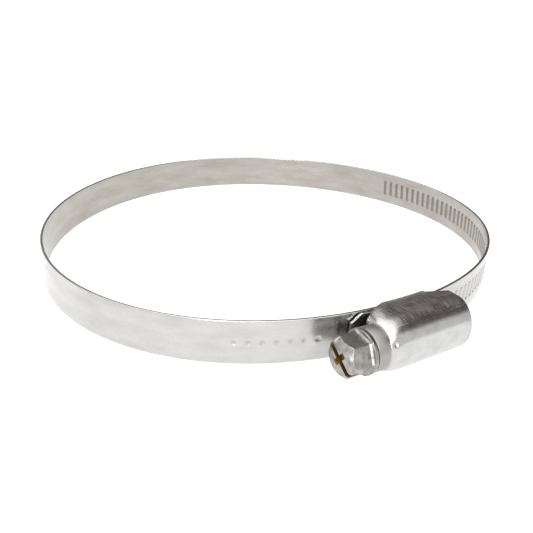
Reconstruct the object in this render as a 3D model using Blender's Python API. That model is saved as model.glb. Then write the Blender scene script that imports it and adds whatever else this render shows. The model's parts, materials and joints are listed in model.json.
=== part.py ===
"""Worm-drive hose clamp, 80 to 100 mm, on a 9 mm stainless band.

The ring's axis is +Z, and z = 0 is the middle of the band's width. The housing sits at -Y, and the
screw lies along X with its hexagon head towards -X. Seen from above, the band leaves the housing
under the screw head, runs clockwise once round the ring, and comes back into the housing from +X as
the outer layer, so its free end shows under the screw head.
"""

import math

import bmesh
import bpy
import numpy as np
from mathutils import Matrix, Vector

MM = 0.001

# Band
BAND_WIDTH = 9.0 * MM
BAND_THICKNESS = 0.6 * MM
LAYER_GAP = 0.3 * MM
LAYER_STEP = BAND_THICKNESS + LAYER_GAP
RING_RADIUS = 52.45 * MM
OVAL = (-1.75 * MM, 0.2 * MM)
EGG = (-0.85 * MM, 0.08 * MM)
FIXED_END_REACH = 5.5 * MM
FREE_END = 346.2 * MM
FACET_LENGTH = 3.0 * MM
TIP_TRIM = 1.6 * MM
TIP_TRIM_LENGTH = 2.4 * MM

# Thread impressions, which are pressed into the outer face of the free end
PITCH = 2.0 * MM
GROOVE_DEPTH = 0.3 * MM
GROOVE_HALF_HEIGHT = 2.1 * MM
GROOVE_END_SLOPE = 0.5 * MM
GROOVE_HALF_WIDTH = 0.5 * MM
GROOVE_FLOOR_HALF_WIDTH = 0.25 * MM
GROOVES_START = 234.2 * MM
GROOVE_COUNT = 54

# Worm screw, with distances along X
SCREW_CLEARANCE = 0.35 * MM
CREST_RADIUS = 3.6 * MM
ROOT_RADIUS = 2.8 * MM
SHANK_RADIUS = 2.5 * MM
THREAD_START = -8.3 * MM
THREAD_END = 7.9 * MM
SCREW_TIP = 8.3 * MM
FLANGE_RADIUS = 4.4 * MM
FLANGE = (-15.0 * MM, -14.2 * MM)
HEAD_END = -19.6 * MM
HEX_ACROSS_FLATS = 7.0 * MM
HEAD_CHAMFER_RADIUS = 3.05 * MM
HEAD_TURN = math.radians(-52)
SLOT_WIDTH = 1.1 * MM
SLOT_DEPTH = 2.2 * MM
CROSS_LENGTH = 3.8 * MM
SIDES = 24

# Housing, with heights measured outwards from the ring's axis, which is towards -Y
WALL = 0.7 * MM
HOUSING_END = 8.8 * MM
SHOULDER = (-11.2 * MM, -5.8 * MM)
HALF_WIDTH = 5.6 * MM
ARCH_RISE = 4.7 * MM
NECK_END = -14.0 * MM
NECK_RADIUS = 4.3 * MM
NECK_BORE = 2.8 * MM
SADDLE_RADIUS = 60.0 * MM
SADDLE_GAP = 0.15 * MM
ARCH_SIDES = 16
TOE = ((-5.3 * MM, 49.5 * MM), (-11.3 * MM, 51.9 * MM))
HEEL = ((4.3 * MM, 50.8 * MM), (8.8 * MM, 52.8 * MM))


# ---------------------------------------------------------------- the band's path

def ring_radius(winding):
    """Radius of the strip's middle, where winding is the angle run clockwise from the housing."""
    oval = OVAL[0] * np.cos(2 * winding) + OVAL[1] * np.sin(2 * winding)
    egg = EGG[0] * np.cos(3 * winding) + EGG[1] * np.sin(3 * winding)
    return RING_RADIUS + oval + egg + LAYER_STEP * winding / (2 * math.pi)


def band_path():
    """The strip's middle line as (distance from x = 0 in the housing, points, outward normals)."""
    winding = np.linspace(math.radians(-20), math.radians(400), 8401)
    radius = ring_radius(winding)
    points = np.stack([-radius * np.sin(winding), -radius * np.cos(winding)], 1)
    steps = np.linalg.norm(np.diff(points, axis=0), axis=1)
    distance = np.concatenate([[0], np.cumsum(steps)])
    distance -= np.interp(0, winding, distance)
    tangent = np.gradient(points, distance, axis=0)
    tangent /= np.linalg.norm(tangent, axis=1)[:, None]
    normal = np.stack([-tangent[:, 1], tangent[:, 0]], 1)
    return distance, points, normal


PATH = band_path()


def at(distance):
    """Point and outward normal of the strip's middle line, at a distance along it."""
    point = [np.interp(distance, PATH[0], PATH[1][:, i]) for i in range(2)]
    normal = [np.interp(distance, PATH[0], PATH[2][:, i]) for i in range(2)]
    return Vector((*point, 0)), Vector((*normal, 0)).normalized()


INNER_FACE = ring_radius(0) - BAND_THICKNESS / 2
TAIL_FACE = ring_radius(2 * math.pi) + BAND_THICKNESS / 2
SCREW_AXIS = TAIL_FACE + SCREW_CLEARANCE + CREST_RADIUS


# ---------------------------------------------------------------- scene helpers

def clear_scene():
    for obj in list(bpy.data.objects):
        bpy.data.objects.remove(obj, do_unlink=True)


def material(name, colour, roughness):
    mat = bpy.data.materials.new(name)
    mat.use_nodes = True
    shader = mat.node_tree.nodes["Principled BSDF"]
    shader.inputs["Base Color"].default_value = (*colour, 1)
    shader.inputs["Roughness"].default_value = roughness
    shader.inputs["Metallic"].default_value = 1.0
    return mat


def add_object(name, bm, mat, origin=(0, 0, 0)):
    """Turn a bmesh in world coordinates into an object whose origin is at the given point."""
    bmesh.ops.recalc_face_normals(bm, faces=bm.faces)
    bmesh.ops.translate(bm, verts=bm.verts, vec=-Vector(origin))
    mesh = bpy.data.meshes.new(name)
    bm.to_mesh(mesh)
    bm.free()
    if mat:
        mesh.materials.append(mat)
    obj = bpy.data.objects.new(name, mesh)
    obj.location = origin
    bpy.context.collection.objects.link(obj)
    return obj


def cutter(name, bm, origin=(0, 0, 0)):
    obj = add_object(name, bm, None, origin)
    obj.hide_render = True
    obj.display_type = "WIRE"
    return obj


def combine(obj, other, operation):
    modifier = obj.modifiers.new(other.name, "BOOLEAN")
    modifier.operation = operation
    modifier.object = other
    modifier.solver = "EXACT"


def bridge_rings(bm, rings):
    """Close a stack of equal rings of points into one solid, and return the rings' vertices."""
    made = [[bm.verts.new(point) for point in ring] for ring in rings]
    for low, high in zip(made, made[1:]):
        for i in range(len(low)):
            j = (i + 1) % len(low)
            bm.faces.new((low[i], low[j], high[j], high[i]))
    bm.faces.new(made[0])
    bm.faces.new(made[-1])
    return made


def smooth(obj):
    obj.data.shade_smooth()
    obj.data.set_sharp_from_angle(angle=math.radians(30))


# ---------------------------------------------------------------- band

def groove_rows(start):
    """Distances of the rows that one groove needs, and how deep each row is."""
    middle = start + PITCH / 2
    return [
        (middle - GROOVE_HALF_WIDTH, 0),
        (middle - GROOVE_FLOOR_HALF_WIDTH, GROOVE_DEPTH),
        (middle + GROOVE_FLOOR_HALF_WIDTH, GROOVE_DEPTH),
        (middle + GROOVE_HALF_WIDTH, 0),
    ]


def groove_slant():
    """How far a groove leans along the strip for each unit of height, as the thread does."""
    return -PITCH / (2 * math.pi * (CREST_RADIUS - GROOVE_DEPTH))


def strip_rows():
    """(distance, groove depth) of each cross-section of the strip, from its fixed end to its free end."""
    plain = GROOVES_START + FIXED_END_REACH
    facets = round(plain / FACET_LENGTH)
    rows = [(d, 0) for d in np.linspace(-FIXED_END_REACH, GROOVES_START, facets + 1)]
    for number in range(GROOVE_COUNT):
        rows += groove_rows(GROOVES_START + number * PITCH)
    return rows + [(FREE_END - TIP_TRIM_LENGTH, 0), (FREE_END, 0)]


def strip_section(distance, depth, is_tip):
    """One cross-section of the strip, with the groove pressed into the middle of its outer face."""
    half = BAND_WIDTH / 2
    inset = GROOVE_HALF_HEIGHT - GROOVE_END_SLOPE
    heights = (-half, -GROOVE_HALF_HEIGHT, -inset, inset, GROOVE_HALF_HEIGHT, half)
    edge = half - TIP_TRIM if is_tip else half
    grooved = GROOVES_START < distance < FREE_END - TIP_TRIM_LENGTH
    section = []
    for column, height in enumerate(heights):
        z = max(-edge, min(edge, height))
        lean = groove_slant() * z if grooved and 0 < column < 5 else 0
        point, normal = at(distance + lean)
        lowered = depth if 1 < column < 4 else 0
        section.append(point + normal * (BAND_THICKNESS / 2 - lowered) + Vector((0, 0, z)))
    point, normal = at(distance)
    for z in (edge, -edge):
        section.append(point - normal * BAND_THICKNESS / 2 + Vector((0, 0, z)))
    return section


def build_band(mat):
    rows = strip_rows()
    bm = bmesh.new()
    bridge_rings(bm, [strip_section(d, depth, d == FREE_END) for d, depth in rows])
    band = add_object("band", bm, mat)
    smooth(band)


def move_origin(obj, point):
    """Put an object's origin on a point without moving its surface."""
    obj.data.transform(Matrix.Translation(obj.location - point))
    obj.location = point


# ---------------------------------------------------------------- housing

def saddle(x, clearance):
    """Height of the curved saddle under the strip, at a place along the housing."""
    return INNER_FACE - SADDLE_GAP - clearance - x * x / (2 * SADDLE_RADIUS)


def shoulder_size(x):
    """How far the shoulder has swelled from the neck, 0, to the barrel, 1."""
    start, end = SHOULDER
    part = min(1, max(0, (x - start) / (end - start)))
    return math.sqrt(1 - (1 - part) ** 2)


def housing_ring(x, inset):
    """The housing's outline across X: an arch over the screw and a box round the band, out of the neck."""
    size, neck = shoulder_size(x), NECK_RADIUS - inset
    side, floor = HALF_WIDTH - inset, SCREW_AXIS - saddle(x, WALL - inset)
    points = []
    for i in range(2 * ARCH_SIDES):
        turn = math.pi * i / ARCH_SIDES
        across, up = math.cos(turn), math.sin(turn)
        if i <= ARCH_SIDES:
            full = (across * side, up * (ARCH_RISE - inset))
        elif i % (ARCH_SIDES // 2) == ARCH_SIDES // 4:
            full = (math.copysign(side, across), -floor)
        else:
            reach = min(side / max(abs(across), 1e-9), floor / abs(up))
            full = (across * reach, up * reach)
        across, up = (neck * n + (f - neck * n) * size for n, f in zip((across, up), full))
        points.append(Vector((x, -SCREW_AXIS - up, across)))
    return points


def tube(start, end, radius):
    """A cylinder along X about the screw's axis."""
    bm = bmesh.new()
    bridge_rings(bm, [circle(x, radius) for x in (start, end)])
    return bm


def prism(outline, half):
    """A solid whose (x, height) outline runs from -half to +half along Z."""
    bm = bmesh.new()
    bridge_rings(bm, [[Vector((x, -height, z)) for x, height in outline] for z in (-half, half)])
    return bm


def toe():
    """What is cut off the housing's underside towards the head, where the two layers of band come out."""
    (x0, high), (x1, higher) = TOE
    return prism([(x0, high - 4 * MM), (x0, high), (x1, higher), (x1, high - 4 * MM)], HALF_WIDTH + WALL)


def heel():
    """What is cut off the housing's underside towards the screw's tip."""
    (x0, low), (x1, high) = HEEL
    beyond = x1 + WALL
    end = high + (high - low) / (x1 - x0) * WALL
    return prism([(x0, low), (x0, low - 4 * MM), (beyond, low - 4 * MM), (beyond, end)], HALF_WIDTH + WALL)


def build_housing(mat):
    start, end = SHOULDER
    shoulder = [start + (end - start) * (i / 6) ** 1.6 for i in range(7)]
    barrel = list(np.linspace(end, HOUSING_END, 6))[1:]
    bm = bmesh.new()
    bridge_rings(bm, [housing_ring(x, 0) for x in [NECK_END] + shoulder + barrel])
    housing = add_object("housing", bm, mat)
    inner = [x for x in shoulder if x > start + WALL] + barrel[:-1]
    cavity = bmesh.new()
    bridge_rings(cavity, [housing_ring(x, WALL) for x in [start + WALL] + inner + [HOUSING_END + WALL]])
    combine(housing, cutter("cut_cavity", cavity), "DIFFERENCE")
    combine(housing, cutter("cut_toe", toe()), "DIFFERENCE")
    combine(housing, cutter("cut_heel", heel()), "DIFFERENCE")
    bore = tube(NECK_END - WALL, SHOULDER[0] + 2 * WALL, NECK_BORE)
    combine(housing, cutter("cut_neck_bore", bore), "DIFFERENCE")
    smooth(housing)
    return housing


# ---------------------------------------------------------------- screw

def thread_radius(fraction):
    """Radius of the thread at a fraction of its pitch: root, flank, crest, flank."""
    return ROOT_RADIUS + (CREST_RADIUS - ROOT_RADIUS) * max(0, min(1, 1.6 - abs(fraction - 0.5) * 5.2))


def screw_shaft():
    """Flange, shank and right-hand thread as one turned solid, as rings that follow the helix."""
    per_pitch = 6
    fractions = [i / per_pitch for i in range(per_pitch)]
    turns = math.ceil((THREAD_END - THREAD_START) / PITCH) + 1
    bm = bmesh.new()
    rings = [circle(FLANGE[0], FLANGE_RADIUS - 0.2 * MM)]
    rings.append(circle(FLANGE[0] + 0.2 * MM, FLANGE_RADIUS))
    rings.append(circle(FLANGE[1] - 0.2 * MM, FLANGE_RADIUS))
    rings.append(circle(FLANGE[1], FLANGE_RADIUS - 0.2 * MM))
    rings.append(circle(FLANGE[1], SHANK_RADIUS))
    rings.append(circle(THREAD_START, SHANK_RADIUS))
    rings.append(circle(THREAD_START, ROOT_RADIUS))
    for turn in range(-1, turns):
        for fraction in fractions:
            ring = []
            for i in range(SIDES):
                angle = 2 * math.pi * i / SIDES
                x = THREAD_START + PITCH * (turn + fraction + i / SIDES)
                inside = THREAD_START + PITCH / 4 < x < THREAD_END - PITCH / 4
                radius = thread_radius(fraction) if inside else ROOT_RADIUS
                ring.append(screw_point(min(max(x, THREAD_START), THREAD_END), radius, angle))
            rings.append(ring)
    rings.append(circle(THREAD_END, ROOT_RADIUS))
    rings.append(circle(SCREW_TIP, ROOT_RADIUS - 0.4 * MM))
    bridge_rings(bm, rings)
    bmesh.ops.remove_doubles(bm, verts=bm.verts, dist=1e-6)
    bmesh.ops.dissolve_degenerate(bm, edges=bm.edges, dist=1e-6)
    return bm


def screw_point(x, radius, angle):
    """A point about the screw's axis: a growing angle turns from the ring's centre towards +Z."""
    return Vector((x, -SCREW_AXIS + radius * math.cos(angle), radius * math.sin(angle)))


def circle(x, radius):
    return [screw_point(x, radius, 2 * math.pi * i / SIDES) for i in range(SIDES)]


def hexagon_head():
    corner = HEX_ACROSS_FLATS / math.sqrt(3)
    angles = [math.radians(60 * i) + HEAD_TURN for i in range(6)]
    bm = bmesh.new()
    ends = (HEAD_END, FLANGE[0] + 0.3 * MM)
    bridge_rings(bm, [[screw_point(x, corner, a) for a in angles] for x in ends])
    return bm


def head_chamfer():
    """The turned blank that rounds off the hexagon's outer corners."""
    bm = bmesh.new()
    reach = 1.1 * MM
    stations = (
        (HEAD_END, HEAD_CHAMFER_RADIUS),
        (HEAD_END + reach, HEAD_CHAMFER_RADIUS + reach),
        (FLANGE[0] + WALL, HEAD_CHAMFER_RADIUS + reach),
    )
    bridge_rings(bm, [circle(x, radius) for x, radius in stations])
    return bm


def block(x_range, half_width, half_length):
    """A bar across the head, turned with it."""
    reach = math.hypot(half_width, half_length)
    lean = math.atan2(half_length, half_width)
    angles = [HEAD_TURN + a for a in (lean, math.pi - lean, math.pi + lean, -lean)]
    bm = bmesh.new()
    bridge_rings(bm, [[screw_point(x, reach, a) for a in angles] for x in x_range])
    return bm


def build_screw(mat):
    head = cutter("cut_hexagon", hexagon_head())
    combine(head, cutter("cut_head_chamfer", head_chamfer()), "INTERSECT")
    screw = add_object("worm_screw", screw_shaft(), mat)
    combine(screw, head, "UNION")
    mouth = HEAD_END - WALL
    slot = block((mouth, HEAD_END + SLOT_DEPTH), SLOT_WIDTH / 2, HEX_ACROSS_FLATS)
    combine(screw, cutter("cut_slot", slot), "DIFFERENCE")
    cross = block((mouth, HEAD_END + SLOT_DEPTH * 0.8), CROSS_LENGTH / 2, SLOT_WIDTH / 2)
    combine(screw, cutter("cut_cross", cross), "DIFFERENCE")
    move_origin(screw, Vector((0, -SCREW_AXIS, 0)))
    smooth(screw)
    return screw


def main():
    clear_scene()
    band_steel = material("band_steel", (0.66, 0.65, 0.63), 0.28)
    housing_steel = material("housing_steel", (0.60, 0.59, 0.58), 0.2)
    screw_steel = material("screw_steel", (0.52, 0.52, 0.50), 0.32)
    build_band(band_steel)
    build_housing(housing_steel)
    build_screw(screw_steel)


main()
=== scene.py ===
"""Looks for the worm-drive hose clamp: band, housing and worm screw in stainless and zinc-plated steel.

Lengths are in metres, in the CAD frame: +Z is the ring's axis, the housing sits at -Y, and the screw
lies along X with its head towards -X. "Height" means the distance from the ring's axis towards -Y.
Distances along the strip start at x = 0 inside the housing.
"""

import json
import math

import bmesh
import bpy
import numpy as np
from mathutils import Matrix, Vector


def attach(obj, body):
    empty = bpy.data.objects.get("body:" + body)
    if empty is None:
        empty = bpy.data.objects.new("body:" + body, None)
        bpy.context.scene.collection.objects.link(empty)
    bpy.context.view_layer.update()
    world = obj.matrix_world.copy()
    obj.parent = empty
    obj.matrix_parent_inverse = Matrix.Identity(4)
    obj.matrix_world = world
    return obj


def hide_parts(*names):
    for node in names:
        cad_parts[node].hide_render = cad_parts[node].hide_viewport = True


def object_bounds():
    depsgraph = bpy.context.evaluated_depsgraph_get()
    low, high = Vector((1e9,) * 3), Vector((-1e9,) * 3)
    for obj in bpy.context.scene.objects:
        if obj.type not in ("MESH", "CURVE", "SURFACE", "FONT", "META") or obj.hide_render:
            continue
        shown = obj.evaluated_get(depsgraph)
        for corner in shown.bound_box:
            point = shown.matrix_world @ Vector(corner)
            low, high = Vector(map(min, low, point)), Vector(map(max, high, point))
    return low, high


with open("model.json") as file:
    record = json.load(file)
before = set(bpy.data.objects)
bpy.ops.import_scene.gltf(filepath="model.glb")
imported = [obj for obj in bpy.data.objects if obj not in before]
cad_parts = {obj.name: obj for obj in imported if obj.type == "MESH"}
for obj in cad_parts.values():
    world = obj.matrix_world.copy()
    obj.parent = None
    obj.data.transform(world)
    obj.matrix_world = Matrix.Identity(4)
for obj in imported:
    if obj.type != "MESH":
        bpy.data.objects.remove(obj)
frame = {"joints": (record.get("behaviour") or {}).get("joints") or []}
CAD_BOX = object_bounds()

MM = 0.001
FULL_TURN = 2 * math.pi

# Strip's path, with the driving values that part.py uses
BAND_WIDTH = 9.0 * MM
BAND_THICKNESS = 0.6 * MM
LAYER_STEP = 0.9 * MM
RING_RADIUS = 52.45 * MM
OVAL = (-1.75 * MM, 0.2 * MM)
EGG = (-0.85 * MM, 0.08 * MM)
PATH_ANGLES = (math.radians(-20), math.radians(400))
PATH_POINTS = 8401
STRIP_START = -5.5 * MM
STRIP_END = 346.2 * MM
TIP_TRIM = 1.6 * MM
TIP_TRIM_LENGTH = 2.4 * MM

# Thread impressions in the free end
PITCH = 2.0 * MM
GROOVES_START = 234.2 * MM
GROOVE_COUNT = 54
GROOVE_DEPTH = 0.36 * MM
RIDGE_RISE = 0.16 * MM
GROOVE_HALF_WIDTH = 0.62 * MM
GROOVE_FLOOR = 0.28 * MM
GROOVE_HALF_HEIGHT = 2.25 * MM
GROOVE_END = 0.5 * MM
THREAD_PITCH_RADIUS = 3.3 * MM

# Row of plain dimples in place of the stamped size
DIMPLES_START = 19.0 * MM
DIMPLES_STEP = 2.6 * MM
DIMPLE_COUNT = 7
DIMPLE_DEPTH = 0.12 * MM
DIMPLE_BULGE = 0.3 * DIMPLE_DEPTH
DIMPLE_RADIUS = 0.75 * MM
DIMPLE_FLOOR = 0.2 * DIMPLE_RADIUS

# Painted shade in the marks, as shares of the full shade. A groove's middle takes only a share of it, and
# the shade grows to the full towards the groove's ends.
SHADE_RIM = (1.4 * MM, 1.9 * MM)
SHADE_AT_MIDDLE = 0.35
SHADE_IN_DIMPLES = 0.35

# Strip's skin
EDGE_RADIUS = 0.16 * MM
EDGE_ANGLES = np.radians([15, 35, 55, 75])
FINE_HALF_HEIGHT = GROOVE_HALF_HEIGHT + 0.1 * MM
FINE_COLUMNS = 31
COARSE_COLUMNS = 7
PLAIN_STEP = 1.0 * MM
DIMPLED_STEP = 0.2 * MM
LEAST_STEP = 0.1 * MM
ROWS_PER_GROOVE = 14

# Screw, with distances along X
SCREW_AXIS = -frame["joints"][0]["pos_m"][1]
CREST_RADIUS = 3.6 * MM
ROOT_RADIUS = 2.8 * MM
SHANK_RADIUS = 2.5 * MM
THREAD = (-8.3 * MM, 7.9 * MM)
THREAD_SHOULDER = 0.3 * MM
SCREW_TIP = 8.3 * MM
TIP_PROFILE = ((SCREW_TIP - 0.1 * MM, ROOT_RADIUS - 0.3 * MM), (SCREW_TIP, ROOT_RADIUS - 0.45 * MM))
FLANGE = (-15.0 * MM, -14.2 * MM)
FLANGE_RADIUS = 4.4 * MM
FLANGE_EDGE = 0.16 * MM
SHAFT_START_RADIUS = 1.0 * MM
HEAD_END = -19.6 * MM
HEX_HALF_FLATS = 3.5 * MM
HEX_CORNER = 3.97 * MM
HEAD_CHAMFER_RADIUS = 3.05 * MM
HEAD_CHAMFER_SLOPE = 1.0
HEAD_EDGE_LENGTH = 0.05 * MM
HEAD_EDGE_DROP = 0.12 * MM
HEAD_FLARE_FROM = 0.93
HEAD_TURN = math.radians(52)
SLOT_WIDTH = 1.1 * MM
SLOT_DEPTH = 2.2 * MM
CROSS_LENGTH = 3.8 * MM
CROSS_DEPTH = SLOT_DEPTH * 0.8
CROSS_TAPER = 0.7

# Thread's ridge across one pitch: a triangle this many crests high, cut off at one crest
CREST_PEAK = 1.6
CREST_FALL = 5.2

# Screw's skins. The head's rings lie over the chamfer's first millimetre, then at shares of its length.
HEAD_SIDES = 240
HEAD_CHAMFER_RINGS = 21
HEAD_SHARES = (0.5, 0.8, HEAD_FLARE_FROM, 0.97, 1, 1.05)
SHAFT_SIDES = 72
STEPS_PER_PITCH = 20
SHAFT_TEXTURE_LENGTH = 20 * MM

# Housing, with distances along X
WALL = 0.7 * MM
HOUSING_END = 8.8 * MM
SHOULDER = (-11.2 * MM, -5.8 * MM)
HALF_WIDTH = 5.6 * MM
ARCH_RISE = 4.7 * MM
NECK_END = -14.0 * MM
NECK_RADIUS = 4.3 * MM
NECK_BORE = 2.8 * MM
NECK_FILLET = 0.3 * MM
SADDLE_RADIUS = 60.0 * MM
SADDLE_GAP = 0.15 * MM
SIDE_SQUARENESS = 5.5
TOE = ((-5.3 * MM, 49.5 * MM), (-11.3 * MM, 51.9 * MM))
HEEL = ((4.3 * MM, 50.8 * MM), (8.8 * MM, 52.8 * MM))
TRIM_DEPTH = 4 * MM
DENT_AT = (-10.2 * MM, math.radians(30))
DENT_RADIUS = 0.55 * MM
DENT_FLOOR = 0.1 * DENT_RADIUS
DENT_DEPTH = 0.3 * MM

# Housing's skin. A lip is a rounded edge, whose middle ring lies LIP_MIDDLE of its size from either face.
LIP = 0.18 * MM
LIP_MIDDLE = 0.3
HOUSING_SIDES = 180
SHOULDER_RINGS = 40
SHOULDER_FIRST = 0.02
BARREL_FIRST = 0.3 * MM
BARREL_STEP = 0.35 * MM

# Clean-up of the meshes, with the angles in degrees above which an edge is shaded sharp
WELD_DISTANCE = 0.002 * MM
SHORTEST_EDGE = 0.001 * MM
CUT_MARGIN = 1 * MM
BAND_CREASE = 40
HOUSING_CREASE = 38
HEAD_CREASE = 28
SHAFT_CREASE = 35
HEAD_BEVEL = 0.07 * MM
BEVEL_CREASE = 32
BEVEL_SEGMENTS = 2

# Steels' colours
BAND_DARK, BAND_LIGHT = (0.455, 0.449, 0.438), (0.525, 0.523, 0.518)
# Painted shade: the band's inner face is painted darker and warmer than its outer face
INSIDE_SHADE_DARK, INSIDE_SHADE_LIGHT = (0.335, 0.308, 0.272), (0.40, 0.388, 0.366)
# Painted shade: the colour that the thread marks and dimples are darkened towards
MARK_SHADE = (0.20, 0.19, 0.17)
HOUSING_DARK, HOUSING_LIGHT = (0.455, 0.452, 0.448), (0.55, 0.548, 0.545)
BRUSHED_DARK, BRUSHED_LIGHT = (0.24, 0.23, 0.22), (0.66, 0.65, 0.64)
# Darker colour for the housing's neck
NECK_DARKER = (0.33, 0.325, 0.31)
ZINC_DARK, ZINC_LIGHT = (0.20, 0.195, 0.18), (0.40, 0.395, 0.375)
RECESS_DARK, RECESS_LIGHT = (0.34, 0.21, 0.08), (0.55, 0.38, 0.16)

# What is added to the roughness
MARK_ROUGHER = 0.12
BRUSHED_ROUGHER = 0.12
DULL_ROUGHER = 0.2

# Where the housing's finish changes: brushed on the flat side at +Z, darker and rougher on the neck
BRUSHED_FROM = 4.7 * MM
BRUSHED_TO = BRUSHED_FROM + 0.8 * MM
DULL_TO = SHOULDER[0] - 0.4 * MM
BRIGHT_FROM = SHOULDER[0] + 0.1 * MM

# Stage
FLOOR_HALF = 3.0
FLOOR_GREY = 0.3
FLOOR_ROUGHNESS = 0.9
FLOOR_SPECULAR = 0.1
FLOOR_GLOW = 1.0
DIM_TOWARDS = (0.5, 0.25, 1.0)
WORLD_STOPS = (
    (0.0, (0.95, 0.95, 0.95)),
    (0.55, (0.88, 0.88, 0.88)),
    (0.65, (0.42, 0.40, 0.38)),
    (0.74, (0.16, 0.13, 0.12)),
    (1.0, (0.12, 0.10, 0.09)),
)

# Camera, from a perspective fit of the ring's outline
CAMERA_AT = Vector((-83.85, -128.13, 62.92)) * MM
CAMERA_TURN = math.radians(33.4)
CAMERA_PITCH = 0.442
CAMERA_ROLL = 0.043
CAMERA_LENS = 44.13
CAMERA_SENSOR = 36
CAMERA_CLIP = 0.005


# ---------------------------------------------------------------- mesh helpers

def skin(name, rings, uv=None, marks=None, ends=True):
    """A mesh through rings of points, each ring closed, with its first and last ring filled if it has ends.

    uv is (along the rings, around each ring) in metres, and marks hold one value for each point.
    """
    rings = np.asarray(rings, float)
    count, around = rings.shape[:2]
    faces, corners = [], []
    for i in range(count - 1):
        for j in range(around):
            k = (j + 1) % around
            faces.append((i * around + j, i * around + k, (i + 1) * around + k, (i + 1) * around + j))
            corners.append(((i, j), (i, j + 1), (i + 1, j + 1), (i + 1, j)))
    for i in (0, count - 1) if ends else ():
        faces.append(tuple(range(i * around, (i + 1) * around)))
        corners.append(tuple((i, j) for j in range(around)))
    mesh = bpy.data.meshes.new(name)
    mesh.from_pydata(rings.reshape(-1, 3).tolist(), [], faces)
    if uv is not None:
        along, across = uv
        layer = mesh.uv_layers.new(name="surface")
        flat = [(along[i] / MM, across[j] / MM) for face in corners for i, j in face]
        layer.data.foreach_set("uv", np.array(flat, np.float32).ravel())
    for key, values in (marks or {}).items():
        layer = mesh.attributes.new(key, "FLOAT", "POINT")
        layer.data.foreach_set("value", np.asarray(values, np.float32).ravel())
    obj = bpy.data.objects.new(name, mesh)
    bpy.context.collection.objects.link(obj)
    clean(obj)
    return obj


def clean(obj, weld=False):
    """Turn every face outwards, after merging points that fall together if the mesh is to be welded."""
    bm = bmesh.new()
    bm.from_mesh(obj.data)
    if weld:
        bmesh.ops.remove_doubles(bm, verts=bm.verts, dist=WELD_DISTANCE)
        bmesh.ops.dissolve_degenerate(bm, edges=bm.edges, dist=SHORTEST_EDGE)
    bmesh.ops.recalc_face_normals(bm, faces=bm.faces)
    bm.to_mesh(obj.data)
    bm.free()


def smooth(obj, crease):
    obj.data.shade_smooth()
    obj.data.set_sharp_from_angle(angle=math.radians(crease))


def cut(obj, cutters):
    """Subtract each cutter from an object's mesh, and remove the cutters."""
    for cutter in cutters:
        modifier = obj.modifiers.new(cutter.name, "BOOLEAN")
        modifier.operation = "DIFFERENCE"
        modifier.object = cutter
        modifier.solver = "EXACT"
        modifier.material_mode = "TRANSFER"
    bpy.context.view_layer.update()
    evaluated = obj.evaluated_get(bpy.context.evaluated_depsgraph_get())
    mesh = bpy.data.meshes.new_from_object(evaluated)
    obj.modifiers.clear()
    obj.data = mesh
    for cutter in cutters:
        bpy.data.objects.remove(cutter, do_unlink=True)


def prism(name, outline, half_length, material=None):
    """A cutter with an (x, height) outline, as long each way along Z, that may colour its cut."""
    rings = [[(x, -height, z) for x, height in outline] for z in (-half_length, half_length)]
    cutter = skin(name, rings)
    if material:
        cutter.data.materials.append(material)
    return cutter


def bevel_edges(obj, width):
    """Break the sharp edges a little, as on a real turned or cut part."""
    modifier = obj.modifiers.new("broken_edges", "BEVEL")
    modifier.width = width
    modifier.segments = BEVEL_SEGMENTS
    modifier.limit_method = "ANGLE"
    modifier.angle_limit = math.radians(BEVEL_CREASE)
    modifier.use_clamp_overlap = True


def smoothstep(low, high, value):
    t = np.clip((value - low) / (high - low), 0, 1)
    return t * t * (3 - 2 * t)


# ---------------------------------------------------------------- the strip's path

def ring_radius(winding):
    """Radius of the strip's middle line, which is out of round and grows by one layer in a full turn."""
    oval = OVAL[0] * np.cos(2 * winding) + OVAL[1] * np.sin(2 * winding)
    egg = EGG[0] * np.cos(3 * winding) + EGG[1] * np.sin(3 * winding)
    return RING_RADIUS + oval + egg + LAYER_STEP * winding / FULL_TURN


def band_path():
    """The strip's middle line as (distances, points, outward normals)."""
    winding = np.linspace(*PATH_ANGLES, PATH_POINTS)
    radius = ring_radius(winding)
    points = np.stack([-radius * np.sin(winding), -radius * np.cos(winding)], 1)
    steps = np.linalg.norm(np.diff(points, axis=0), axis=1)
    distance = np.concatenate([[0], np.cumsum(steps)])
    distance -= np.interp(0, winding, distance)
    tangent = np.gradient(points, distance, axis=0)
    tangent /= np.linalg.norm(tangent, axis=1)[:, None]
    return distance, points, np.stack([-tangent[:, 1], tangent[:, 0]], 1)


PATH = band_path()
INNER_FACE = ring_radius(0) - BAND_THICKNESS / 2


def on_path(distance):
    """Points and outward normals of the strip's middle line, with x and y last."""
    point = np.stack([np.interp(distance, PATH[0], PATH[1][:, i]) for i in range(2)], -1)
    normal = np.stack([np.interp(distance, PATH[0], PATH[2][:, i]) for i in range(2)], -1)
    return point, normal / np.linalg.norm(normal, axis=-1, keepdims=True)


# ---------------------------------------------------------------- band

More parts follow.
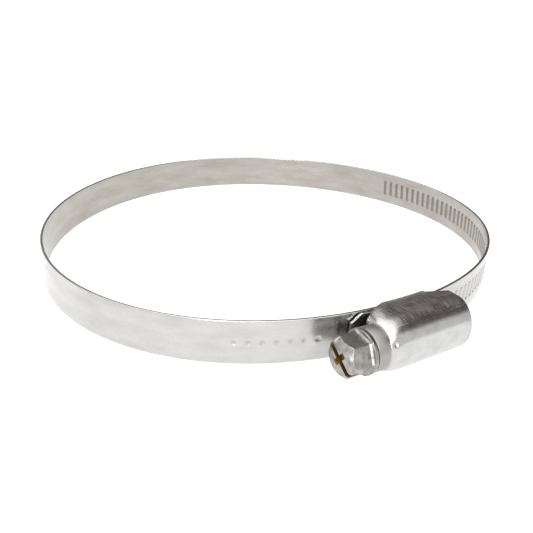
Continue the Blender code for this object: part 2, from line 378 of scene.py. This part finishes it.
def strip_outline():
    """The strip's cross-section, once round it, as (offset outwards, z, which face).

    The face is 1 outside, -1 inside, and 0 on the rounded edges.
    """
    half_width, half = BAND_WIDTH / 2 - EDGE_RADIUS, BAND_THICKNESS / 2
    flat = half - EDGE_RADIUS
    coarse = np.linspace(FINE_HALF_HEIGHT, half_width, COARSE_COLUMNS)
    fine = np.linspace(-FINE_HALF_HEIGHT, FINE_HALF_HEIGHT, FINE_COLUMNS)
    face = np.concatenate([-coarse[:0:-1], fine, coarse[1:]])

    def rounded(outwards, upwards, angles):
        across = outwards * (flat + EDGE_RADIUS * np.cos(angles))
        z = upwards * (half_width + EDGE_RADIUS * np.sin(angles))
        return list(zip(across, z, np.zeros_like(angles)))

    points = [(half, z, 1) for z in face]
    points += rounded(1, 1, EDGE_ANGLES) + rounded(-1, 1, EDGE_ANGLES[::-1])
    points += [(-half, z, -1) for z in face[::-1]]
    points += rounded(-1, -1, EDGE_ANGLES) + rounded(1, -1, EDGE_ANGLES[::-1])
    return np.array(points).T


def strip_rows():
    """Distances of the strip's rings: close together over the dimples and the grooves."""
    plain = np.arange(STRIP_START, GROOVES_START, PLAIN_STEP)
    dimples_end = DIMPLES_START + DIMPLE_COUNT * DIMPLES_STEP
    dimpled = np.arange(DIMPLES_START - DIMPLES_STEP / 2, dimples_end, DIMPLED_STEP)
    outside = plain[(plain < dimpled[0] - LEAST_STEP) | (plain > dimpled[-1] + LEAST_STEP)]
    grooved = np.arange(GROOVES_START, STRIP_END, PITCH / ROWS_PER_GROOVE)
    return np.concatenate([np.sort(np.concatenate([outside, dimpled])), grooved, [STRIP_END]])


def groove_amount(distance, z):
    """1 on the floor of a thread impression, 0 between them."""
    slant = -PITCH / (FULL_TURN * THREAD_PITCH_RADIUS)
    along = distance - slant * z - GROOVES_START
    number = np.floor(along / PITCH)
    from_middle = np.abs(along - (number + 0.5) * PITCH)
    amount = 1 - smoothstep(GROOVE_FLOOR, GROOVE_HALF_WIDTH, from_middle)
    amount = amount * (1 - smoothstep(GROOVE_HALF_HEIGHT - GROOVE_END, GROOVE_HALF_HEIGHT, np.abs(z)))
    return np.where((number >= 0) & (number < GROOVE_COUNT), amount, 0)


def dimple_amount(distance, z):
    """1 in the middle of a dimple, 0 outside them."""
    number = np.clip(np.round((distance - DIMPLES_START) / DIMPLES_STEP), 0, DIMPLE_COUNT - 1)
    away = np.hypot(distance - DIMPLES_START - number * DIMPLES_STEP, z)
    return 1 - smoothstep(DIMPLE_FLOOR, DIMPLE_RADIUS, away)


def build_band():
    offset, z, face = strip_outline()
    rows = strip_rows()
    distance = np.repeat(rows[:, None], len(z), 1)
    trim = smoothstep(STRIP_END - TIP_TRIM_LENGTH, STRIP_END, rows)[:, None]
    height = np.repeat(z[None], len(rows), 0) * (1 - trim * TIP_TRIM / (BAND_WIDTH / 2))
    groove = groove_amount(distance, height)
    dimple = dimple_amount(distance, height)
    relief = np.where(face > 0, -GROOVE_DEPTH * groove - DIMPLE_DEPTH * dimple, 0)
    relief = relief + np.where(face < 0, -RIDGE_RISE * groove - DIMPLE_BULGE * dimple, 0)
    point, normal = on_path(distance)
    flat = point + normal * (offset[None, :, None] + relief[..., None])
    rings = np.concatenate([flat, height[..., None]], -1)
    # Painted shade in the marks: a share of it in a groove's middle on the outer face, growing to all of it
    # at the groove's ends, all of it on the inner ridges, and some in the dimples
    shade_share = SHADE_AT_MIDDLE + (1 - SHADE_AT_MIDDLE) * smoothstep(*SHADE_RIM, np.abs(height))
    shade = groove * np.where(face < 0, 1, shade_share) + SHADE_IN_DIMPLES * np.where(face > 0, dimple, 0)
    around = np.concatenate([[0], np.cumsum(np.hypot(np.diff(offset), np.diff(z)))])
    around = np.append(around, around[-1] + BAND_THICKNESS)
    inner = np.repeat((face < 0)[None], len(rows), 0)
    band = skin("band_strip", rings, uv=(rows, around), marks={"shade": shade, "inner": inner})
    smooth(band, BAND_CREASE)
    return band


# ---------------------------------------------------------------- housing

def section_radius(x, turn, inset):
    """How far the barrel's wall is from the screw's axis: turn 0 is away from the ring, +90 is +Z."""
    up, side = np.cos(turn), np.abs(np.sin(turn))
    half_width, rise = HALF_WIDTH - inset, ARCH_RISE - inset
    floor = INNER_FACE - SADDLE_GAP - WALL + inset - x * x / (2 * SADDLE_RADIUS)
    depth = SCREW_AXIS - floor
    arch = 1 / np.sqrt((up / rise) ** 2 + (side / half_width) ** 2)
    power = SIDE_SQUARENESS
    box = ((np.abs(up) / depth) ** power + (side / half_width) ** power) ** (-1 / power)
    return np.where(up >= 0, arch, box)


def dent(x, turn, radius):
    """Depth of the small dimple on the shoulder."""
    away = np.hypot(x - DENT_AT[0], (turn - DENT_AT[1]) * radius)
    return DENT_DEPTH * (1 - smoothstep(DENT_FLOOR, DENT_RADIUS, away))


def barrel_radius(x, turns, inset):
    """The barrel's wall from the screw's axis, as it swells out of the neck at the shoulder."""
    start, end = SHOULDER[0] + inset, SHOULDER[1]
    part = np.clip((x - start) / (end - start), 0, 1)
    size = np.sqrt(1 - (1 - part) ** 2)
    neck = NECK_RADIUS - inset
    radius = neck + (section_radius(x, turns, inset) - neck) * size
    return radius - (dent(x, turns, radius) if inset == 0 else 0)


def about_screw(x, radius, turns):
    """A ring of points about the screw's axis."""
    x = np.broadcast_to(x, np.shape(radius * turns))
    return np.stack([x, -SCREW_AXIS - radius * np.cos(turns), radius * np.sin(turns)], -1)


def trim_outline(start, end):
    """Outline of what is cut off the underside, below a line from start that carries on past end."""
    (x0, high), (x1, higher) = start, end
    slope = (higher - high) / (x1 - x0)
    beyond = x1 + math.copysign(CUT_MARGIN, x1 - x0)
    low = high - TRIM_DEPTH
    return [(x0, low), (x0, high), (beyond, higher + slope * (beyond - x1)), (beyond, low)]


def housing_rings(turns):
    """Rings over the outside from the neck to the open end, and back through the inside."""
    start, end = SHOULDER
    shoulder = start + (end - start) * np.linspace(SHOULDER_FIRST, 1, SHOULDER_RINGS) ** 2
    barrel = np.arange(end + BARREL_FIRST, HOUSING_END - LIP, BARREL_STEP)
    inside = shoulder[shoulder > start + WALL]
    middle = LIP_MIDDLE * LIP
    rings = [
        (NECK_END, NECK_BORE + LIP),
        (NECK_END, NECK_RADIUS - LIP),
        (NECK_END + middle, NECK_RADIUS - middle),
        (NECK_END + LIP, NECK_RADIUS),
        (start - NECK_FILLET, NECK_RADIUS),
    ]
    rings += [(x, barrel_radius(x, turns, 0)) for x in np.concatenate([shoulder, barrel])]
    for back, inset in ((LIP, 0), (middle, middle), (0, LIP), (0, WALL - LIP), (LIP, WALL)):
        x = HOUSING_END - back
        rings.append((x, section_radius(x, turns, inset)))
    rings += [(x, barrel_radius(x, turns, WALL)) for x in np.concatenate([barrel[::-3], inside[::-2]])]
    rings += [(start + WALL, NECK_BORE), (NECK_END + LIP, NECK_BORE), rings[0]]
    return np.array([about_screw(x, radius, turns) for x, radius in rings])


def build_housing():
    turns = np.linspace(-math.pi, math.pi, HOUSING_SIDES + 1)[:-1]
    rings = housing_rings(turns)
    along = np.concatenate([[0], np.cumsum(np.abs(np.diff(rings[:, 0, 0])))])
    around = np.append(turns, math.pi) * HALF_WIDTH
    housing = skin("housing_shell", rings, uv=(along, around), ends=False)
    clean(housing, weld=True)
    deep = HALF_WIDTH + CUT_MARGIN
    cut(housing, [
        prism("cut_toe", trim_outline(*TOE), deep),
        prism("cut_heel", trim_outline(*HEEL), deep),
    ])
    smooth(housing, HOUSING_CREASE)
    return housing


# ---------------------------------------------------------------- screw

def build_head(steel, recess_steel):
    """Chamfered hexagon with a slot and a cross recess."""
    turns = np.linspace(0, FULL_TURN, HEAD_SIDES + 1)[:-1]
    from_flat = (turns + math.pi) % (math.pi / 3) - math.pi / 6
    hexagon = np.minimum(HEX_HALF_FLATS / np.cos(from_flat), HEX_CORNER)
    length = FLANGE[0] - HEAD_END
    chamfer = np.linspace(0, 1, HEAD_CHAMFER_RINGS) * MM
    depths = np.concatenate([chamfer, length * np.array(HEAD_SHARES)])
    rings = [
        about_screw(HEAD_END, HEAD_CHAMFER_RADIUS - HEAD_EDGE_DROP, turns),
        about_screw(HEAD_END + HEAD_EDGE_LENGTH, np.minimum(hexagon, HEAD_CHAMFER_RADIUS), turns),
    ]
    for depth in depths[1:]:
        cone = HEAD_CHAMFER_RADIUS + depth * HEAD_CHAMFER_SLOPE
        flare = max(depth - HEAD_FLARE_FROM * length, 0)
        rings.append(about_screw(HEAD_END + depth, np.minimum(hexagon, cone) + flare, turns))
    around = np.append(turns, FULL_TURN) * HEX_HALF_FLATS
    head = skin("screw_head", rings, uv=(np.append([0], depths), around))
    head.data.materials.append(steel)
    cut(head, recess_cutters(recess_steel))
    axis = Matrix.Translation((0, -SCREW_AXIS, 0))
    head.data.transform(axis @ Matrix.Rotation(-HEAD_TURN, 4, "X") @ axis.inverted())
    bevel_edges(head, HEAD_BEVEL)
    smooth(head, HEAD_CREASE)
    return head


def recess_cutters(steel):
    """The slot right across the head, and the arm of the cross that tapers across it."""
    outside = HEAD_END - CUT_MARGIN
    half, arm = SLOT_WIDTH / 2, CROSS_LENGTH / 2
    cutters = []
    for name, depth, wide, narrow, reach in (
        ("cut_slot", SLOT_DEPTH, half, half, HEX_CORNER + CUT_MARGIN),
        ("cut_cross", CROSS_DEPTH, arm, arm * CROSS_TAPER, half),
    ):
        floor = HEAD_END + depth
        outline = [(outside, SCREW_AXIS - wide), (floor, SCREW_AXIS - narrow)]
        outline += [(floor, SCREW_AXIS + narrow), (outside, SCREW_AXIS + wide)]
        cutters.append(prism(name, outline, reach, steel))
    return cutters


def shaft_start():
    """Profile of the flange and the shank up to the thread's root, as (x, radius)."""
    (start, end), edge, middle = FLANGE, FLANGE_EDGE, LIP_MIDDLE * FLANGE_EDGE
    return [
        (start, SHAFT_START_RADIUS),
        (start, FLANGE_RADIUS - edge),
        (start + middle, FLANGE_RADIUS - middle),
        (start + edge, FLANGE_RADIUS),
        (end - edge, FLANGE_RADIUS),
        (end - middle, FLANGE_RADIUS - middle),
        (end, FLANGE_RADIUS - edge),
        (end, SHANK_RADIUS),
        (THREAD[0] - THREAD_SHOULDER, SHANK_RADIUS),
        (THREAD[0], ROOT_RADIUS),
    ]


def thread_rings(turns):
    """One ring for each step along the thread, slanted by its pitch. The thread fades out at both ends."""
    rings = []
    pitches = math.ceil((THREAD[1] - THREAD[0]) / PITCH) + 1
    for step in range(-STEPS_PER_PITCH, pitches * STEPS_PER_PITCH):
        fraction = (step % STEPS_PER_PITCH) / STEPS_PER_PITCH
        x = THREAD[0] + PITCH * (step / STEPS_PER_PITCH + 1 - turns / FULL_TURN)
        crest = np.clip(CREST_PEAK - abs(fraction - 0.5) * CREST_FALL, 0, 1)
        fade_in = smoothstep(THREAD[0], THREAD[0] + PITCH / 2, x)
        fade_out = 1 - smoothstep(THREAD[1] - PITCH / 2, THREAD[1], x)
        radius = ROOT_RADIUS + (CREST_RADIUS - ROOT_RADIUS) * crest * (fade_in * fade_out)
        rings.append(about_screw(np.clip(x, *THREAD), radius, turns))
    return rings


def build_shaft():
    """Flange, shank and right-hand thread."""
    turns = np.linspace(0, FULL_TURN, SHAFT_SIDES + 1)[:-1]
    rings = [about_screw(x, radius, turns) for x, radius in shaft_start()]
    rings += thread_rings(turns)
    rings += [about_screw(x, radius, turns) for x, radius in ((THREAD[1], ROOT_RADIUS), *TIP_PROFILE)]
    along = np.linspace(0, 1, len(rings)) * SHAFT_TEXTURE_LENGTH
    shaft = skin("screw_shaft", rings, uv=(along, np.append(turns, FULL_TURN) * ROOT_RADIUS))
    clean(shaft, weld=True)
    smooth(shaft, SHAFT_CREASE)
    return shaft


# ---------------------------------------------------------------- materials

class Steel:
    """Builds one procedural steel out of nodes.

    A texture's scale is by the millimetre on a mesh's own UV, and by the metre in object space.
    """

    def __init__(self, name):
        self.material = bpy.data.materials.new(name)
        self.material.use_nodes = True
        self.tree = self.material.node_tree
        self.shader = self.tree.nodes["Principled BSDF"]
        self.shader.inputs["Metallic"].default_value = 1.0
        self.bumps = None

    def feed(self, socket, value):
        if isinstance(value, bpy.types.NodeSocket):
            self.tree.links.new(value, socket)
        else:
            socket.default_value = value

    def node(self, kind, **inputs):
        """A node with its inputs given by name, with an underscore for each space."""
        made = self.tree.nodes.new(kind)
        for key, value in inputs.items():
            self.feed(made.inputs[key.replace("_", " ")], value)
        return made

    def place(self, scale, space="UV"):
        """Texture coordinates, scaled on each axis."""
        coordinates = self.tree.nodes.new("ShaderNodeTexCoord")
        made = self.node("ShaderNodeMapping", Vector=coordinates.outputs[space], Scale=scale)
        return made.outputs["Vector"]

    def noise(self, scale, detail=3.0, space="UV"):
        place = self.place(scale, space)
        made = self.node("ShaderNodeTexNoise", Vector=place, Scale=1.0, Detail=detail, Roughness=0.5)
        return made.outputs["Fac"]

    def span(self, value, low=0, high=1, start=0.3, end=0.7):
        """From low at start to high at end, which as given are where a noise has most of its range."""
        span = {"From_Min": start, "From_Max": end, "To_Min": low, "To_Max": high}
        return self.node("ShaderNodeMapRange", Value=value, **span).outputs["Result"]

    def mark(self, name):
        """A value that the mesh carries at its points."""
        made = self.tree.nodes.new("ShaderNodeAttribute")
        made.attribute_name = name
        return made.outputs["Fac"]

    def combine(self, operation, *values):
        made = self.tree.nodes.new("ShaderNodeMath")
        made.operation = operation
        for socket, value in zip(made.inputs, values):
            self.feed(socket, value)
        return made.outputs[0]

    def add(self, a, b):
        return self.combine("ADD", a, b)

    def times(self, a, b):
        return self.combine("MULTIPLY", a, b)

    def tint(self, factor, low, high):
        """From one colour to another, each as (red, green, blue) or as another tint."""
        made = self.tree.nodes.new("ShaderNodeMix")
        made.data_type = "RGBA"
        self.feed(made.inputs["Factor"], factor)
        ends = [socket for socket in made.inputs if socket.type == "RGBA"]
        for socket, colour in zip(ends, (low, high)):
            self.feed(socket, (*colour, 1) if isinstance(colour, tuple) else colour)
        return next(socket for socket in made.outputs if socket.type == "RGBA")

    def bump(self, height, distance):
        """Relief on top of what is already there."""
        made = self.node("ShaderNodeBump", Height=height, Strength=1.0, Distance=distance)
        if self.bumps:
            self.feed(made.inputs["Normal"], self.bumps)
        self.bumps = made.outputs["Normal"]

    def finish(self, colour, roughness):
        self.feed(self.shader.inputs["Base Color"], colour)
        self.feed(self.shader.inputs["Roughness"], roughness)
        self.feed(self.shader.inputs["Normal"], self.bumps)
        return self.material


def band_steel():
    """Rolled strip: fine lines along it, slow waves in its flatness, an inner face painted darker and warmer
    as painted shade, and marks painted darker as painted shade and made a little rougher.
    """
    steel = Steel("band_steel_rolled")
    lines = steel.noise((0.25, 9.0, 1), detail=4.0)
    waves = steel.noise((0.05, 0.12, 1), detail=1.0)
    blotch = steel.span(steel.noise((0.12, 0.4, 1)))
    shade, inner = steel.mark("shade"), steel.mark("inner")
    outside = steel.tint(blotch, BAND_DARK, BAND_LIGHT)
    # The inner face takes painted shade: darker and warmer colours than the outer face
    inside = steel.tint(blotch, INSIDE_SHADE_DARK, INSIDE_SHADE_LIGHT)
    # The thread marks and dimples are painted darker, as painted shade
    colour = steel.tint(shade, steel.tint(inner, outside, inside), MARK_SHADE)
    rough = steel.add(steel.span(lines, low=0.2, high=0.3), steel.times(shade, MARK_ROUGHER))
    steel.bump(waves, distance=0.25 * MM)
    steel.bump(lines, distance=0.005 * MM)
    return steel.finish(colour, rough)


def housing_steel():
    """Pressed stainless: polished on the arch, brushed on the flat side at +Z, and darker and rougher on the
    neck.

    A few long scratches run along it, and fine lines both round it and along it.
    """
    steel = Steel("housing_steel_pressed")
    lines = steel.noise((8.0, 0.35, 1), detail=4.0)
    drawn = steel.noise((0.3, 5.0, 1))
    cloud = steel.noise((0.35, 0.35, 1))
    scratch = steel.span(steel.noise((0.12, 7.0, 1), detail=2.0), start=0.6, end=0.68)
    place = steel.node("ShaderNodeSeparateXYZ", Vector=steel.place((1, 1, 1), "Object"))
    side = steel.span(place.outputs["Z"], start=BRUSHED_FROM, end=BRUSHED_TO)
    neck = steel.span(place.outputs["X"], low=1, high=0, start=DULL_TO, end=BRIGHT_FROM)
    colour = steel.tint(steel.span(cloud), HOUSING_DARK, HOUSING_LIGHT)
    brushed = steel.tint(steel.span(lines, start=0.4, end=0.6), BRUSHED_DARK, BRUSHED_LIGHT)
    colour = steel.tint(neck, steel.tint(side, colour, brushed), NECK_DARKER)
    rough = steel.add(steel.span(lines, low=0.12, high=0.2), steel.span(cloud, high=0.08))
    rough = steel.add(rough, steel.times(side, BRUSHED_ROUGHER))
    rough = steel.add(rough, steel.times(steel.add(scratch, neck), DULL_ROUGHER))
    steel.bump(steel.times(lines, side), distance=0.012 * MM)
    steel.bump(cloud, distance=0.03 * MM)
    steel.bump(lines, distance=0.0025 * MM)
    steel.bump(drawn, distance=0.0015 * MM)
    return steel.finish(colour, rough)


def screw_steel(name, dark, light):
    """Zinc-plated steel: satin and mottled, with fine scratches. The recess keeps a yellowish tarnish."""
    steel = Steel(name)
    mottle = steel.noise((900, 900, 900), detail=5.0, space="Object")
    lines = steel.noise((0.6, 5.0, 1))
    colour = steel.tint(steel.span(mottle), dark, light)
    rough = steel.add(steel.span(mottle, low=0.36, high=0.26), steel.span(lines, high=0.08))
    steel.bump(mottle, distance=0.03 * MM)
    steel.bump(lines, distance=0.006 * MM)
    return steel.finish(colour, rough)


# ---------------------------------------------------------------- stage

def build_floor():
    """A plain floor that glows white, at the height of the clamp's lowest point."""
    half, height = FLOOR_HALF, CAD_BOX[0].z
    mesh = bpy.data.meshes.new("floor")
    corners = [(-half, -half, height), (half, -half, height), (half, half, height), (-half, half, height)]
    mesh.from_pydata(corners, [], [(0, 1, 2, 3)])
    floor = bpy.data.objects.new("floor", mesh)
    bpy.context.collection.objects.link(floor)
    material = bpy.data.materials.new("floor_white")
    material.use_nodes = True
    shader = material.node_tree.nodes["Principled BSDF"]
    shader.inputs["Base Color"].default_value = (FLOOR_GREY, FLOOR_GREY, FLOOR_GREY, 1)
    shader.inputs["Roughness"].default_value = FLOOR_ROUGHNESS
    shader.inputs["Specular IOR Level"].default_value = FLOOR_SPECULAR
    shader.inputs["Emission Color"].default_value = (1, 1, 1, 1)
    shader.inputs["Emission Strength"].default_value = FLOOR_GLOW
    mesh.materials.append(material)


def build_world():
    """Bright to the left and low down, and a dim warm ceiling to the right, as under a one-sided softbox."""
    world = bpy.data.worlds.new("studio")
    bpy.context.scene.world = world
    world.use_nodes = True
    tree = world.node_tree
    coordinates = tree.nodes.new("ShaderNodeTexCoord")
    across = tree.nodes.new("ShaderNodeVectorMath")
    across.operation = "DOT_PRODUCT"
    across.inputs[1].default_value = DIM_TOWARDS
    ramp = tree.nodes.new("ShaderNodeValToRGB")
    tree.links.new(coordinates.outputs["Generated"], across.inputs[0])
    tree.links.new(across.outputs["Value"], ramp.inputs["Fac"])
    elements = ramp.color_ramp.elements
    while len(elements) < len(WORLD_STOPS):
        elements.new(0.5)
    for element, (place, colour) in zip(elements, WORLD_STOPS):
        element.position = place
        element.color = (*colour, 1)
    background = tree.nodes["Background"]
    tree.links.new(ramp.outputs["Color"], background.inputs["Color"])
    background.inputs["Strength"].default_value = 1.0


def area_light(name, place, target, size, power):
    light = bpy.data.lights.new(name, "AREA")
    light.shape = "RECTANGLE"
    light.size, light.size_y = size
    light.energy = power
    lamp = bpy.data.objects.new(name, light)
    lamp.location = place
    lamp.rotation_euler = (Vector(target) - Vector(place)).to_track_quat("-Z", "Y").to_euler()
    bpy.context.collection.objects.link(lamp)


def build_lights():
    """A small key light from the left, and a wide softbox overhead for the highlight on the shoulder."""
    area_light("key", place=(-0.62, -0.72, 0.22), target=(0, 0, 0), size=(0.14, 0.3), power=4.0)
    area_light("softbox", place=(-0.12, -0.25, 0.6), target=(-0.12, -0.25, 0), size=(0.8, 1.8), power=9.0)


def build_camera():
    """Looks from the photograph's viewing angle, a hand's width from the clamp."""
    flat = Vector((math.sin(CAMERA_TURN), math.cos(CAMERA_TURN), 0))
    forward = flat * math.cos(CAMERA_PITCH) - Vector((0, 0, math.sin(CAMERA_PITCH)))
    right = Vector((flat.y, -flat.x, 0))
    up = right.cross(forward)
    tilt_right = right * math.cos(CAMERA_ROLL) + up * math.sin(CAMERA_ROLL)
    tilt_up = up * math.cos(CAMERA_ROLL) - right * math.sin(CAMERA_ROLL)
    turn = Matrix((tilt_right, tilt_up, -forward)).transposed()
    lens = bpy.data.cameras.new("camera")
    lens.lens = CAMERA_LENS
    lens.sensor_width = CAMERA_SENSOR
    lens.clip_start = CAMERA_CLIP
    camera = bpy.data.objects.new("camera", lens)
    camera.matrix_world = Matrix.Translation(CAMERA_AT) @ turn.to_4x4()
    bpy.context.collection.objects.link(camera)
    bpy.context.scene.camera = camera


def dress(obj, material, slot, body, *nodes):
    """Give a piece its steel, unless it was built in it, hide the CAD parts it stands for, and attach it to
    the body it rides on.
    """
    if material not in list(obj.data.materials):
        obj.data.materials.clear()
        obj.data.materials.append(material)
    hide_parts(*nodes)
    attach(obj, body)


def main():
    dress(build_band(), band_steel(), "band_steel", "housing", "band")
    dress(build_housing(), housing_steel(), "housing_steel", "housing", "housing")
    zinc = screw_steel("screw_steel_zinc", ZINC_DARK, ZINC_LIGHT)
    recess = screw_steel("screw_steel_recess", RECESS_DARK, RECESS_LIGHT)
    dress(build_head(zinc, recess), zinc, "screw_steel", "worm_screw", "worm_screw")
    dress(build_shaft(), zinc, "screw_steel", "worm_screw", "worm_screw")
    build_floor()
    build_world()
    build_lights()
    build_camera()
    bpy.context.scene.view_settings.view_transform = "Standard"
    bpy.context.view_layer.update()


main()
